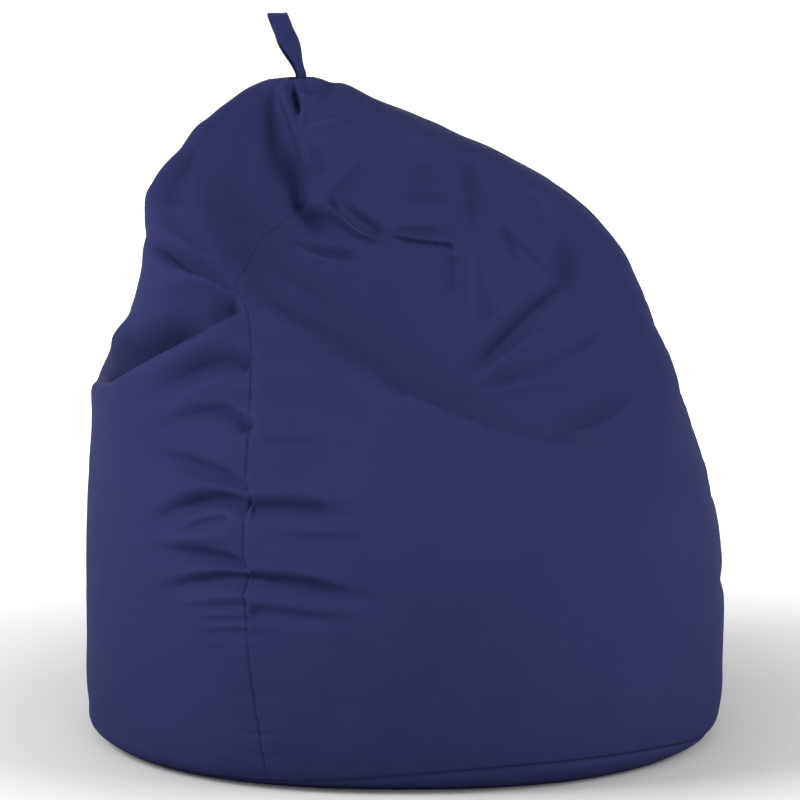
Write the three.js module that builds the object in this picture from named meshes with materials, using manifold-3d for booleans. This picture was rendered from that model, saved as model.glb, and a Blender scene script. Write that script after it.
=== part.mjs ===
// Giant bean bag: a pear-shaped sack of smooth coated cloth, sat into so that a seat hollow is left in
// its front, with a hanging loop at its top. Millimetres, +Z up, +X to the right of someone who faces
// the seat, +Y to the back. The origin is the middle of the flat base, on the floor.
import * as THREE from 'three';
import { mergeVertices } from 'three/addons/utils/BufferGeometryUtils.js';
import Module from 'manifold-3d';

// Driving sizes
const SEAM_GAP = 0.3;                       // between one panel and the next
const SEAM_DRAW = { deep: 4, wide: 7 };     // how the long seams pull the surface in
const BASE_DRAW = { deep: 5, wide: 9 };     // and how the base seam does
const BASE_BLEND = 90;                      // up to this level the rows follow the base seam
const TOP_HEIGHT = 903;                     // where the panels end round the loop
const TOP_CALM = { from: 20, to: 60 };      // nearer to the middle of a ring than this, folds die away
const SEAT_BLEND = { from: 300, to: 420 };  // below these levels the cloth isn't pressed in
const NORMAL_OVER = { degrees: 3.5, up: 14 }; // how far round a point its outward way is averaged
const NAVY = 0x2c2f5c;

// The filled sack, a row for each level: how far it reaches to the left, right, front and back, the
// middle of its ring, to the right and to the back, and how far the left wing swings to the front
const LEVELS = [
  { up: 0, left: 421, right: 416, front: 410, back: 412, midX: 0, midY: 0, wing: 0 },
  { up: 14, left: 444, right: 438, front: 436, back: 434, midX: 0, midY: 0, wing: 0 },
  { up: 40, left: 447, right: 446, front: 448, back: 446, midX: 0, midY: 0, wing: 0 },
  { up: 90, left: 449, right: 449, front: 456, back: 452, midX: 0, midY: 0, wing: 0 },
  { up: 160, left: 450, right: 450, front: 460, back: 456, midX: 0, midY: 5, wing: 0 },
  { up: 250, left: 449, right: 446, front: 462, back: 460, midX: 0, midY: 10, wing: 0 },
  { up: 350, left: 445, right: 429, front: 450, back: 455, midX: 0, midY: 20, wing: 0 },
  { up: 440, left: 441, right: 402, front: 420, back: 442, midX: 0, midY: 40, wing: 10 },
  { up: 500, left: 436, right: 386, front: 380, back: 430, midX: -5, midY: 60, wing: 45 },
  { up: 560, left: 398, right: 361, front: 322, back: 416, midX: -10, midY: 85, wing: 100 },
  { up: 620, left: 370, right: 338, front: 250, back: 400, midX: -20, midY: 105, wing: 145 },
  { up: 680, left: 361, right: 303, front: 170, back: 382, midX: -30, midY: 125, wing: 170 },
  { up: 730, left: 360, right: 253, front: 100, back: 360, midX: -45, midY: 138, wing: 170 },
  { up: 780, left: 341, right: 168, front: 30, back: 330, midX: -75, midY: 146, wing: 145 },
  { up: 830, left: 298, right: 60, front: -22, back: 294, midX: -110, midY: 150, wing: 105 },
  { up: 870, left: 256, right: -36, front: -64, back: 250, midX: -135, midY: 148, wing: 60 },
  { up: 895, left: 212, right: -88, front: -98, back: 205, midX: -148, midY: 142, wing: 20 },
  { up: 903, left: 168, right: -130, front: -112, back: 160, midX: -149, midY: 138, wing: 0 },
];
const ROUNDNESS = 2.3;         // 2 is a true ellipse, more is squarer

// The long seams, as compass degrees (0 is right, 90 is back) that drift with the level
const SEAMS = {
  frontLeft: [
    { up: 0, at: -113 }, { up: 130, at: -114.4 }, { up: 290, at: -115.6 }, { up: 480, at: -115.8 },
    { up: 530, at: -116.4 }, { up: 576, at: -118 }, { up: 620, at: -121 }, { up: 650, at: -125 },
    { up: 690, at: -126 }, { up: 728, at: -126.6 }, { up: 752, at: -125 }, { up: 772, at: -119 },
    { up: 790, at: -109 }, { up: 815, at: -104.5 }, { up: 855, at: -103.5 }, { up: 903, at: -104 },
  ],
  right: [{ up: 0, at: 0 }, { up: 903, at: 0 }],
  backLeft: [{ up: 0, at: 122 }, { up: 903, at: 122 }],
};

// Height of the base seam above the floor, by compass degrees
const BASE_SEAM = [
  { at: -180, up: 14 }, { at: -140, up: 8 }, { at: -115, up: 7 }, { at: -85, up: 29 },
  { at: -66, up: 36 }, { at: -44, up: 31 }, { at: -23, up: 14 }, { at: 0, up: 14 },
  { at: 90, up: 20 }, { at: 180, up: 14 },
];

// The hollow that a sitter leaves: a leaning bowl with a steep wall behind it
const SEAT = {
  lowX: 150, lowY: -290, low: 440,     // its lowest place
  riseLeft: 0.88, easeLeft: 1000,      // how it climbs to the left, less and less
  riseRight: 0.50, riseBack: 0.80,     // to the right and to the back
  round: 70,                           // how soft its bottom is
  wallY: 14, wallLean: 0.10, wallRound: 16,
  wallSteep: 5, wingSteep: 1.2,        // the wall behind the seat, and behind the left wing
  wingX: -190, wallX: -90,             // where the one turns into the other
  armX: -215, armRise: 1.1, armRound: 50,       // left of armX the bowl climbs over the left arm
  pushBack: 0.6, pushDown: 0.8,                 // the way the cloth is pressed
  rimRound: 13,                                 // how round the rim is
  softRim: 34, softFrom: 130, softTo: 320,      // and how much rounder it gets to the right
};

// Where someone stands to see a fold: 4.5 m in front of the sack, looking slightly down on it.
// A fold is placed as seen from there, right of the middle and up from the middle of the base.
const EYE = { away: 4500, aim: 450, downDegrees: 8 };

// A row of a table for each line, with its columns named once
function table(columns, rows) {
  return rows.map((row) => Object.fromEntries(row.map((value, k) => [columns[k], value])));
}

// A fold runs in an arc through three places. deep is inward, and a ridge has a minus. soft says over
// what share of its length it fades at its start and at its end.
const FOLD = ['name', 'from', 'by', 'to', 'deep', 'wide', 'soft'];
const EVEN_FADE = [0, 0.4];

// Folds in the front, placed as the eye sees them
const FRONT_FOLDS = table(FOLD, [
  // the neck, where the top flopped over and was pinched
  ['top seam crease', [-158, 907], [-155, 872], [-150, 838], 14, 9, [0, 0.4]],
  ['neck valley, upper', [-198, 878], [-178, 790], [-150, 722], 27, 14, [0.8, 0]],
  ['neck valley, lower', [-150, 722], [-128, 702], [-80, 681], 27, 13, [0, 0.6]],
  ['neck ridge', [-181, 884], [-160, 818], [-128, 742], -10, 12, [0.1, 0.2]],
  ['top of the left panel', [-152, 912], [-176, 902], [-212, 882], -9, 15, [0, 0.5]],
  ['dimple by the loop', [-136, 880], [-120, 879], [-106, 881], 8, 13, [0, 0]],
  ['knuckle, edge', [-146, 828], [-92, 832], [-61, 797], -8, 13, [0.3, 0.3]],
  ['knuckle, side', [-58, 794], [-80, 768], [-113, 732], -6, 12, [0.5, 0.3]],
  ['pinch ridge', [-116, 728], [-87, 696], [-34, 672], -9, 9, [0.2, 0.3]],
  ['behind the pinch', [-98, 727], [-60, 700], [-26, 675], 8, 9, [0.5, 0.2]],
  ['mouth', [-22, 673], [18, 666], [62, 661], 14, 7, [0.3, 0.1]],
  ['lip above the mouth', [-30, 684], [15, 692], [66, 686], -6, 12, [0.3, 0.3]],
  ['valley under the mouth', [66, 650], [68, 620], [74, 580], 10, 12, [0.1, 0.4]],
  ['bright facet', [-42, 642], [10, 620], [48, 585], -5, 20, [0.4, 0.4]],
  ['lens', [-140, 671], [-106, 655], [-66, 653], 9, 9, [0.3, 0.3]],
  ['lens edge', [-163, 668], [-113, 638], [-44, 640], -7, 10, [0.2, 0.4]],
  ['seat ridge', [-200, 628], [-150, 595], [-95, 560], -6, 13, [0.3, 0.3]],
  ['seat valley', [-206, 618], [-170, 583], [-118, 560], 5, 11, [0.3, 0.4]],
  // the right of the seat, where creases fan out of a pit
  ['arm pit', [232, 715], [228, 640], [240, 575], 15, 30, [0.5, 0.5]],
  ['arm pit, middle', [228, 640], [235, 627], [240, 612], 17, 20, [0.3, 0.3]],
  ['fan crease, upper', [232, 624], [150, 556], [90, 478], 15, 14, [0.1, 0.4]],
  ['fan ridge', [216, 548], [158, 512], [106, 474], -7, 13, [0.3, 0.3]],
  ['fan crease, lower', [310, 566], [200, 500], [55, 453], 9, 12, [0.3, 0.3]],
  ['floor crease', [47, 450], [180, 462], [309, 474], 5, 11, [0.2, 0.4]],
  ['back crease, left', [62, 830], [100, 745], [100, 650], 13, 17, [0.4, 0.4]],
  ['back crease, facet', [132, 688], [152, 660], [166, 630], 7, 11, [0.3, 0.4]],
  ['back crease, right', [140, 680], [185, 645], [232, 626], 8, 11, [0.4, 0.1]],
  // the rim of the seat
  ['behind the rim', [-392, 702], [-306, 656], [-226, 608], 20, 16, [0.1, 0.3]],
  ['rim, left', [-370, 674], [-306, 630], [-228, 594], -13, 14, [0.3, 0.3]],
  ['rim, middle', [-214, 576], [-110, 524], [-17, 466], -4, 14, [0.2, 0.2]],
  ['rim, front', [-17, 466], [60, 420], [128, 396], -3, 16, [0.2, 0.4]],
  // puckers left of the long seam, from the rim down, and right of it
  ['tuck under the rim', [-226, 580], [-346, 540], [-436, 494], 54, 28, [0.75, 0.45]],
  ['tuck ridge', [-224, 556], [-300, 512], [-440, 440], -8, 22, [0.4, 0.2]],
  ['pucker 1', [-222, 503], [-290, 492], [-386, 428], 17, 15, [0, 0.5]],
  ['pucker 1 crest', [-224, 540], [-280, 514], [-370, 455], -4, 15, [0.3, 0.5]],
  ['pucker 2', [-222, 408], [-272, 434], [-356, 396], 12, 14, [0, 0.5]],
  ['seam hollow', [-226, 450], [-232, 440], [-244, 424], 6, 15, [0, 0.5]],
  ['pucker 3', [-228, 318], [-290, 353], [-378, 371], 11, 15, [0.1, 0.5]],
  ['pucker 4, left', [-224, 300], [-292, 306], [-370, 262], 17, 12, [0, 0.5]],
  ['pucker 4, right', [-221, 293], [-140, 296], [-58, 276], 17, 12, [0, 0.5]],
  ['pucker 5', [-244, 278], [-284, 273], [-320, 258], 6, 9, [0.2, 0.4]],
  ['pucker 6', [-229, 207], [-284, 227], [-374, 231], 12, 13, [0, 0.5]],
  ['pucker 7, left', [-224, 193], [-282, 193], [-350, 175], 14, 11, [0, 0.5]],
  ['pucker 7, right', [-221, 194], [-130, 183], [-30, 157], 15, 11, [0, 0.5]],
  ['pucker 8, left', [-226, 157], [-280, 154], [-334, 152], 6, 9, [0, 0.5]],
  ['pucker 8, right', [-220, 150], [-140, 140], [-56, 133], 8, 10, [0, 0.5]],
  ['broad valley right of the seam', [-216, 450], [-130, 460], [50, 416], 9, 18, [0.1, 0.4]],
  // the left wing
  ['wing valley', [-221, 702], [-227, 664], [-226, 632], 6, 12, [0.5, 0.5]],
  ['wing dent', [-326, 690], [-318, 675], [-312, 660], 6, 28, [0, 0]],
]);

// Folds in the hidden back and flanks: placed by compass degrees and level
const BACK_FOLDS = table(FOLD, [
  ['right seam pucker, high', [-16, 470], [0, 480], [22, 462], 9, 13],
  ['right seam pucker, middle', [-12, 330], [2, 338], [24, 324], 8, 12],
  ['right seam pucker, low', [-10, 205], [2, 210], [18, 200], 7, 11],
  ['nape crease, left', [128, 800], [112, 760], [92, 742], 12, 15],
  ['nape crease, right', [40, 780], [64, 742], [90, 738], 12, 15],
  ['back seam pucker, high', [100, 600], [122, 612], [150, 590], 11, 14],
  ['back seam pucker, middle', [104, 430], [122, 440], [146, 424], 9, 13],
  ['back seam pucker, low', [106, 250], [122, 258], [140, 246], 8, 12],
  ['slack of the back', [40, 560], [70, 530], [96, 548], 8, 20],
]);

// Mesh: levels that carry rows of points, and the columns of each panel from seam to seam
const ROW_COUNT = 72;
const ROW_CROWD = 0.02;        // how much closer the rows are in the upper half
const COLUMNS = { front: 56, left: 34, back: 12 };
const COLUMN_CROWD = { front: 0.28, left: -0.28, back: 0 };  // towards the front left seam
const BASE_ROWS = 3;
const ARC_STEPS = 8;

// Values of a named column between the rows of a table, on a smooth curve
function between(rows, key, column, place) {
  let i = 0;
  while (i < rows.length - 2 && place > rows[i + 1][key]) i += 1;
  const slope = (k) => {
    const before = rows[Math.max(k - 1, 0)];
    const after = rows[Math.min(k + 1, rows.length - 1)];
    return (after[column] - before[column]) / (after[key] - before[key]);
  };
  const span = rows[i + 1][key] - rows[i][key];
  const t = THREE.MathUtils.clamp((place - rows[i][key]) / span, 0, 1);
  const leave = (t ** 3 - 2 * t ** 2 + t) * span * slope(i);
  const arrive = (t ** 3 - t ** 2) * span * slope(i + 1);
  const blend = 3 * t ** 2 - 2 * t ** 3;
  return THREE.MathUtils.lerp(rows[i][column], rows[i + 1][column], blend) + leave + arrive;
}

// The line deep inside where the gores meet. Their sides run down and in from a seam, so that they
// stay under the seat: a row for each level of the seam.
const HEART = [
  { seam: 0, up: 30, x: 0, y: 0 }, { seam: 40, up: 55, x: 0, y: 0 }, { seam: 300, up: 190, x: 0, y: 40 },
  { seam: 480, up: 290, x: 0, y: 90 }, { seam: 620, up: 370, x: -20, y: 120 },
  { seam: 700, up: 450, x: -40, y: 140 }, { seam: 780, up: 580, x: -75, y: 150 },
  { seam: 850, up: 730, x: -120, y: 160 }, { seam: 903, up: 880, x: -149, y: 140 },
];

function heart(level) {
  const [x, y, up] = ['x', 'y', 'up'].map((column) => between(HEART, 'seam', column, level));
  return new THREE.Vector3(x, y, up);
}

function ringMiddle(up) {
  return new THREE.Vector3(between(LEVELS, 'up', 'midX', up), between(LEVELS, 'up', 'midY', up), up);
}

// A point of the filled sack before anyone sits in it
function sackPoint(degrees, up) {
  const centre = ringMiddle(up);
  const turn = THREE.MathUtils.degToRad(degrees);
  const side = Math.cos(turn);
  const depth = Math.sin(turn);
  const reachX = side > 0
    ? between(LEVELS, 'up', 'right', up) - centre.x
    : between(LEVELS, 'up', 'left', up) + centre.x;
  const reachY = depth > 0
    ? between(LEVELS, 'up', 'back', up) - centre.y
    : between(LEVELS, 'up', 'front', up) + centre.y;
  const steepness = Math.abs(side / reachX) ** ROUNDNESS + Math.abs(depth / reachY) ** ROUNDNESS;
  const reach = steepness ** (-1 / ROUNDNESS);
  const wing = side < 0 ? between(LEVELS, 'up', 'wing', up) * (side * reach / reachX) ** 2 : 0;
  return centre.add(new THREE.Vector3(side * reach, depth * reach - wing, 0));
}

// Height of the seat's bowl over a place on the floor
function seatHeight(x, y) {
  const across = x - SEAT.lowX;
  const climbAcross = across < 0
    ? SEAT.riseLeft * across / (1 - across / SEAT.easeLeft)
    : SEAT.riseRight * across;
  const climb = Math.hypot(climbAcross, SEAT.riseBack * (y - SEAT.lowY), SEAT.round);
  const pastWall = y - SEAT.wallY - SEAT.wallLean * x;
  const wall = (pastWall + Math.hypot(pastWall, SEAT.wallRound)) / 2;
  const steep = SEAT.wingSteep
    + (SEAT.wallSteep - SEAT.wingSteep) * THREE.MathUtils.smoothstep(x, SEAT.wingX, SEAT.wallX);
  const pastArm = SEAT.armX - x;
  const arm = (pastArm + Math.hypot(pastArm, SEAT.armRound)) / 2;
  return SEAT.low + climb - SEAT.round + steep * wall + SEAT.armRise * arm;
}

// The cloth is pushed back and down until it lies on the bowl, with a rounded rim
function press(point) {
  const height = (t) => point.z - t * SEAT.pushDown - seatHeight(point.x, point.y + t * SEAT.pushBack);
  let low = -300;
  let high = 400;
  for (let i = 0; i < 30; i += 1) {
    const middle = (low + high) / 2;
    if (height(middle) > 0) low = middle;
    else high = middle;
  }
  const { smoothstep } = THREE.MathUtils;
  const rim = SEAT.rimRound + SEAT.softRim * smoothstep(point.x, SEAT.softFrom, SEAT.softTo);
  const rounded = (low + Math.hypot(low, rim * 2)) / 2;
  const push = rounded * smoothstep(point.z, SEAT_BLEND.from, SEAT_BLEND.to);
  return point.clone().add(new THREE.Vector3(0, push * SEAT.pushBack, -push * SEAT.pushDown));
}

// How a point is seen from the eye: right of the middle, up from the middle of the base
const LOOK_DOWN = THREE.MathUtils.degToRad(EYE.downDegrees);
const EYE_POINT = new THREE.Vector3(
  0, -EYE.away * Math.cos(LOOK_DOWN), EYE.aim + EYE.away * Math.sin(LOOK_DOWN));
const SIGHT = new THREE.Vector3(0, Math.cos(LOOK_DOWN), -Math.sin(LOOK_DOWN));
const SIGHT_UP = new THREE.Vector3(0, Math.sin(LOOK_DOWN), Math.cos(LOOK_DOWN));

function onPicture(point) {
  const ray = point.clone().sub(EYE_POINT);
  const scale = EYE.away / ray.dot(SIGHT);
  return [ray.x * scale, ray.dot(SIGHT_UP) * scale];
}

const BASE_ON_PICTURE = onPicture(new THREE.Vector3(0, 0, 0))[1];

function seen(point) {
  const [across, up] = onPicture(point);
  return [across, up - BASE_ON_PICTURE];
}

// An arc through a fold's three places, as short straight steps
function arcSteps(fold) {
  const steps = [];
  for (let i = 0; i <= ARC_STEPS; i += 1) {
    const t = i / ARC_STEPS;
    const a = 2 * (t - 0.5) * (t - 1);
    const b = 4 * t * (1 - t);
    const c = 2 * t * (t - 0.5);
    steps.push([0, 1].map((k) => a * fold.from[k] + b * fold.by[k] + c * fold.to[k]));
  }
  return steps;
}

for (const fold of [...FRONT_FOLDS, ...BACK_FOLDS]) {
  fold.steps = arcSteps(fold);
  fold.length = 0;
  for (let i = 0; i < ARC_STEPS; i += 1) {
    const [[ax, ay], [bx, by]] = fold.steps.slice(i, i + 2);
    fold.length += Math.hypot(bx - ax, by - ay);
  }
}

// Across a trough, from 1 at its bottom to 0 beside it
function trough(away, wide) {
  return Math.exp(-((away / wide) ** 2));
}

// A fold keeps a little of its depth at its very end, and fades over its own width at least
function endFade(fromEnd, share, fold) {
  if (share === 0) return 1;
  const over = Math.max(share, 1.3 * fold.wide / fold.length);
  return 0.08 + 0.92 * THREE.MathUtils.smoothstep(fromEnd, 0, over);
}

// How deep a fold is at a place: a soft trough that runs out towards its ends
function foldDepth(fold, place, stretch = 1) {
  let nearest = Infinity;
  let along = 0;
  for (let i = 0; i < ARC_STEPS; i += 1) {
    const [ax, ay] = fold.steps[i];
    const [bx, by] = fold.steps[i + 1];
    const dx = (bx - ax) * stretch;
    const dy = by - ay;
    const px = (place[0] - ax) * stretch;
    const py = place[1] - ay;
    const t = THREE.MathUtils.clamp((px * dx + py * dy) / (dx * dx + dy * dy), 0, 1);
    const away = Math.hypot(px - t * dx, py - t * dy);
    if (away < nearest) {
      nearest = away;
      along = (i + t) / ARC_STEPS;
    }
  }
  const [start, end] = fold.soft ?? EVEN_FADE;
  const fade = endFade(along, start, fold) * endFade(1 - along, end, fold);
  return fold.deep * fade * trough(nearest, fold.wide);
}

// Where troughs meet, the cloth is about as deep as the deepest of them. Ridges add up.
function gathered(depths) {
  const troughs = depths.reduce((sum, depth) => sum + Math.max(depth, 0) ** 3, 0);
  const ridges = depths.reduce((sum, depth) => sum + Math.min(depth, 0), 0);
  return Math.cbrt(troughs) + ridges;
}

// Front folds only reach the cloth that faces the eye: facing is 1 head on and 0 edge on
function foldedIn(point, facing, degrees, up, reach) {
  const place = seen(point);
  const front = THREE.MathUtils.smoothstep(facing, -0.2, 0.05);
  const stretch = THREE.MathUtils.degToRad(reach);
  const depths = BACK_FOLDS.map((fold) => foldDepth(fold, [degrees, up], stretch));
  if (front > 0) depths.push(...FRONT_FOLDS.map((fold) => front * foldDepth(fold, place)));
  return gathered(depths) * THREE.MathUtils.smoothstep(reach, TOP_CALM.from, TOP_CALM.to);
}

function seamAt(name, up) {
  return between(SEAMS[name], 'up', 'at', up);
}

const PANELS = {
  front: { node: 'side_panel_front', seams: ['frontLeft', 'right'], turn: [0, 0] },
  back: { node: 'side_panel_back', seams: ['right', 'backLeft'], turn: [0, 0] },
  left: { node: 'side_panel_left', seams: ['backLeft', 'frontLeft'], turn: [0, 360] },
};

function baseSeamHeight(degrees) {
  const around = ((degrees + 180) % 360 + 360) % 360 - 180;
  return between(BASE_SEAM, 'at', 'up', around);
}

function shapedPoint(degrees, level) {
  const lift = baseSeamHeight(degrees) * Math.max(0, 1 - level / BASE_BLEND);
  return press(sackPoint(degrees, level + lift));
}

function panelDegrees(panel, across, up) {
  const start = seamAt(panel.seams[0], up) + panel.turn[0];
  const end = seamAt(panel.seams[1], up) + panel.turn[1];
  return start + (end - start) * across;
}

// The finished surface at a place between a panel's two seams
function surfacePoint(panel, across, level) {
  const degrees = panelDegrees(panel, across, level);
  const point = shapedPoint(degrees, level);
  const aside = shapedPoint(degrees + NORMAL_OVER.degrees, level)
    .sub(shapedPoint(degrees - NORMAL_OVER.degrees, level));
  const higher = shapedPoint(degrees, Math.min(level + NORMAL_OVER.up, TOP_HEIGHT));
  const lower = shapedPoint(degrees, Math.max(level - NORMAL_OVER.up, 0));
  const outward = aside.cross(higher.sub(lower)).normalize();
  const facing = outward.dot(EYE_POINT.clone().sub(point).normalize());
  const middle = ringMiddle(level);
  const reach = Math.hypot(point.x - middle.x, point.y - middle.y);
  const span = panelDegrees(panel, 1, level) - panelDegrees(panel, 0, level);
  const toSeam = Math.min(across, 1 - across) * THREE.MathUtils.degToRad(span) * reach;
  const calm = THREE.MathUtils.smoothstep(reach, TOP_CALM.from, TOP_CALM.to);
  const depth = foldedIn(point, facing, degrees, level, reach)
    + SEAM_DRAW.deep * calm * trough(toSeam, SEAM_DRAW.wide)
    + BASE_DRAW.deep * trough(level, BASE_DRAW.wide);
  return point.addScaledVector(outward, -depth);
}

// Levels of the rows, closer together at the base seam and round the folds of the top
function rowLevels() {
  const rows = [];
  for (let j = 0; j <= ROW_COUNT; j += 1) {
    const turn = 2 * Math.PI * j / ROW_COUNT;
    rows.push(TOP_HEIGHT * (j / ROW_COUNT + ROW_CROWD * (Math.cos(turn) - 1 + Math.sin(turn))));
  }
  rows[1] = BASE_DRAW.wide;
  return rows;
}

// Columns from seam to seam, closer together at the seams
function columnPlaces(key) {
  const places = [];
  for (let i = 0; i <= COLUMNS[key]; i += 1) {
    const t = i / COLUMNS[key];
    places.push(t - 0.065 * Math.sin(2 * Math.PI * t) - COLUMN_CROWD[key] * t * (1 - t));
  }
  return places;
}

// A closed mesh from points and the triangles between them
function solid(points, triangles) {
  const geometry = new THREE.BufferGeometry();
  const numbers = points.flatMap((point) => point.toArray());
  geometry.setAttribute('position', new THREE.Float32BufferAttribute(numbers, 3));
  geometry.setIndex(triangles.flat());
  geometry.computeVertexNormals();
  return geometry;
}

const ROWS = rowLevels();

// A level step along the floor, at right angles to a compass direction
function sideways(turn, length) {
  return new THREE.Vector3(-Math.sin(turn), Math.cos(turn), 0).multiplyScalar(length);
}

// One panel's share of the filled sack: its outer skin, and two sides that meet at the heart. Each
// side is crossed by the same diagonals as its neighbour's, so the two run along each other.
function gore(key) {
  const panel = PANELS[key];
  const places = columnPlaces(key);
  const width = places.length;
  const half = SEAM_GAP / 2;
  const points = [];
  for (const level of ROWS) {
    const ring = places.map((place) => surfacePoint(panel, place, level));
    const startTurn = THREE.MathUtils.degToRad(panelDegrees(panel, 0, level));
    const endTurn = THREE.MathUtils.degToRad(panelDegrees(panel, 1, level));
    ring[0].add(sideways(startTurn, half));
    ring[width - 1].add(sideways(endTurn, -half));
    const inset = half / Math.sin((endTurn - startTurn) / 2);
    const core = heart(level).add(sideways((startTurn + endTurn) / 2 - Math.PI / 2, inset));
    points.push(core, ...ring);
  }
  const stride = width + 1;
  const triangles = [];
  for (let j = 0; j < ROWS.length - 1; j += 1) {
    const core = j * stride;
    for (let i = core; i < core + width; i += 1) {
      triangles.push([i, i + 1, i + 1 + stride], [i, i + 1 + stride, i + stride]);
    }
    const last = core + width;
    triangles.push([last, core, last + stride], [core, core + stride, last + stride]);
  }
  const top = (ROWS.length - 1) * stride;
  for (let i = 1; i < width; i += 1) {
    triangles.push([0, i + 1, i], [top, top + i, top + i + 1]);
  }
  return solid(points, triangles);
}

// The base: a filled round panel, flat on the floor and turned up to the base seam all round
function basePanel() {
  const ring = [];
  for (const key of Object.keys(PANELS)) {
    const places = columnPlaces(key);
    for (let i = 0; i < places.length - 1; i += 1) ring.push([PANELS[key], places[i]]);
  }
  const width = ring.length;
  const points = [];
  for (let j = 0; j < BASE_ROWS; j += 1) {
    for (const [panel, place] of ring) {
      const degrees = panelDegrees(panel, place, 0);
      points.push(sackPoint(degrees, (baseSeamHeight(degrees) - SEAM_GAP) * j / BASE_ROWS));
    }
  }
  for (const [panel, place] of ring) {
    points.push(surfacePoint(panel, place, 0).sub(new THREE.Vector3(0, 0, SEAM_GAP)));
  }
  const triangles = [];
  for (let j = 0; j < BASE_ROWS; j += 1) {
    for (let i = 0; i < width; i += 1) {
      const a = j * width + i;
      const b = j * width + (i + 1) % width;
      triangles.push([a, b, b + width], [a, b + width, a + width]);
    }
  }
  const low = points.length;
  const high = low + 1;
  points.push(new THREE.Vector3(0, 0, 0), heart(0).sub(new THREE.Vector3(0, 0, SEAM_GAP)));
  const top = BASE_ROWS * width;
  for (let i = 0; i < width; i += 1) {
    const next = (i + 1) % width;
    triangles.push([low, next, i], [high, top + i, top + next]);
  }
  return solid(points, triangles);
}

// The hanging loop: one strip, up from the top seam, over, and down again beside itself. It is seen
// edge on where it leaves the sack and turns its face to the front on its way up.
const LOOP = {
  rootX: -149, rootY: 138, rootUp: 886, rise: 107, lean: -34, width: 28, thick: 2.6,
  rootTurn: 68, topTurn: 0,       // degrees that its width is turned by, from left to right
  rootSpread: 3.4, eyeSpread: 15, // between its two runs, at the root and at the eye
  sunk: 0.2,                      // share of the rise that is caught between the panels
  steps: 22, socket: 30,
};

// t runs from 0 at one end over the top at 0.5 to 1 at the other end
function loopFrame(t) {
  const { lerp, smoothstep, degToRad } = THREE.MathUtils;
  const climb = Math.sin(Math.PI * t);
  const side = Math.cos(Math.PI * t);
  const free = Math.max(0, climb - LOOP.sunk) / (1 - LOOP.sunk);
  const turn = degToRad(lerp(LOOP.rootTurn, LOOP.topTurn, smoothstep(free, 0.1, 0.8)));
  const open = lerp(LOOP.rootSpread, LOOP.eyeSpread, smoothstep(free, 0, 0.6));
  const spread = Math.sign(side) * open / 2 * Math.sqrt(Math.min(1, Math.abs(side) * 3));
  const place = new THREE.Vector3(LOOP.lean * free, 0, LOOP.rise * climb);
  place.add(new THREE.Vector3(LOOP.rootX, LOOP.rootY, LOOP.rootUp));
  return { place: place.add(sideways(turn, -spread)), along: sideways(turn - Math.PI / 2, 1) };
}

function hangingLoop() {
  const points = [];
  const triangles = [];
  const frames = [];
  for (let i = 0; i <= LOOP.steps; i += 1) frames.push(loopFrame(i / LOOP.steps));
  frames.forEach(({ place, along }, i) => {
    const before = frames[Math.max(i - 1, 0)].place;
    const after = frames[Math.min(i + 1, LOOP.steps)].place;
    const face = after.clone().sub(before).cross(along).normalize();
    for (const [wide, thick] of [[-0.5, -0.5], [0.5, -0.5], [0.5, 0.5], [-0.5, 0.5]]) {
      const edge = place.clone().addScaledVector(along, wide * LOOP.width);
      points.push(edge.addScaledVector(face, thick * LOOP.thick));
    }
  });
  for (let i = 0; i < LOOP.steps; i += 1) {
    for (let k = 0; k < 4; k += 1) {
      const a = i * 4 + k;
      const b = i * 4 + (k + 1) % 4;
      triangles.push([a, b, b + 4], [a, b + 4, a + 4]);
    }
  }
  const last = LOOP.steps * 4;
  triangles.push([0, 3, 2], [0, 2, 1], [last, last + 1, last + 2], [last, last + 2, last + 3]);
  return solid(points, triangles);
}

// The loop's ends are caught between the panels, in a socket a little larger than the strip
const wasm = await Module();
wasm.setup();

function toManifold(geometry) {
  const bare = geometry.clone();
  bare.deleteAttribute('normal');
  bare.deleteAttribute('uv');
  const merged = mergeVertices(bare, 1e-4);
  const vertProperties = new Float32Array(merged.attributes.position.array);
  const triVerts = new Uint32Array(merged.index.array);
  return new wasm.Manifold(new wasm.Mesh({ numProp: 3, vertProperties, triVerts }));
}

function fromManifold(body) {
  const mesh = body.getMesh();
  const geometry = new THREE.BufferGeometry();
  geometry.setAttribute('position', new THREE.BufferAttribute(new Float32Array(mesh.vertProperties), 3));
  geometry.setIndex(new THREE.BufferAttribute(new Uint32Array(mesh.triVerts), 1));
  geometry.computeVertexNormals();
  return geometry;
}

function loopSocket() {
  const clear = 2 * SEAM_GAP;
  const across = LOOP.rootSpread + LOOP.thick + clear;
  const box = new THREE.BoxGeometry(LOOP.width + clear, across, LOOP.socket);
  box.rotateZ(THREE.MathUtils.degToRad(LOOP.rootTurn));
  box.translate(LOOP.rootX, LOOP.rootY, LOOP.rootUp - SEAM_GAP + LOOP.socket / 2);
  return toManifold(box);
}

const material = new THREE.MeshStandardMaterial({ color: NAVY, roughness: 0.5, metalness: 0 });

function addPiece(group, name, geometry) {
  const mesh = new THREE.Mesh(geometry, material.clone());
  mesh.name = name;
  group.add(mesh);
}

const bag = new THREE.Group();
for (const key of Object.keys(PANELS)) {
  addPiece(bag, PANELS[key].node, fromManifold(toManifold(gore(key)).subtract(loopSocket())));
}
addPiece(bag, 'base_panel', basePanel());
addPiece(bag, 'hanging_loop', hangingLoop());

export default bag;
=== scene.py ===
# %% [markdown]
# # A giant bean bag
# The bag is a tall pear of coated cloth, filled with beads. Someone has sat in it, so the front
# holds a deep hollow with a rim, a tall back that leans over, and a wing at its left. Three long
# panels and a round base are sewn together, and a folded strip makes a hanging loop at the top.
#
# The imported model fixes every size. This script dresses it: each panel is made again as finer cloth
# in the same place, with the puckers that its seams gather, and then gets its leatherette.

# %% The frame
import math

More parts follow.
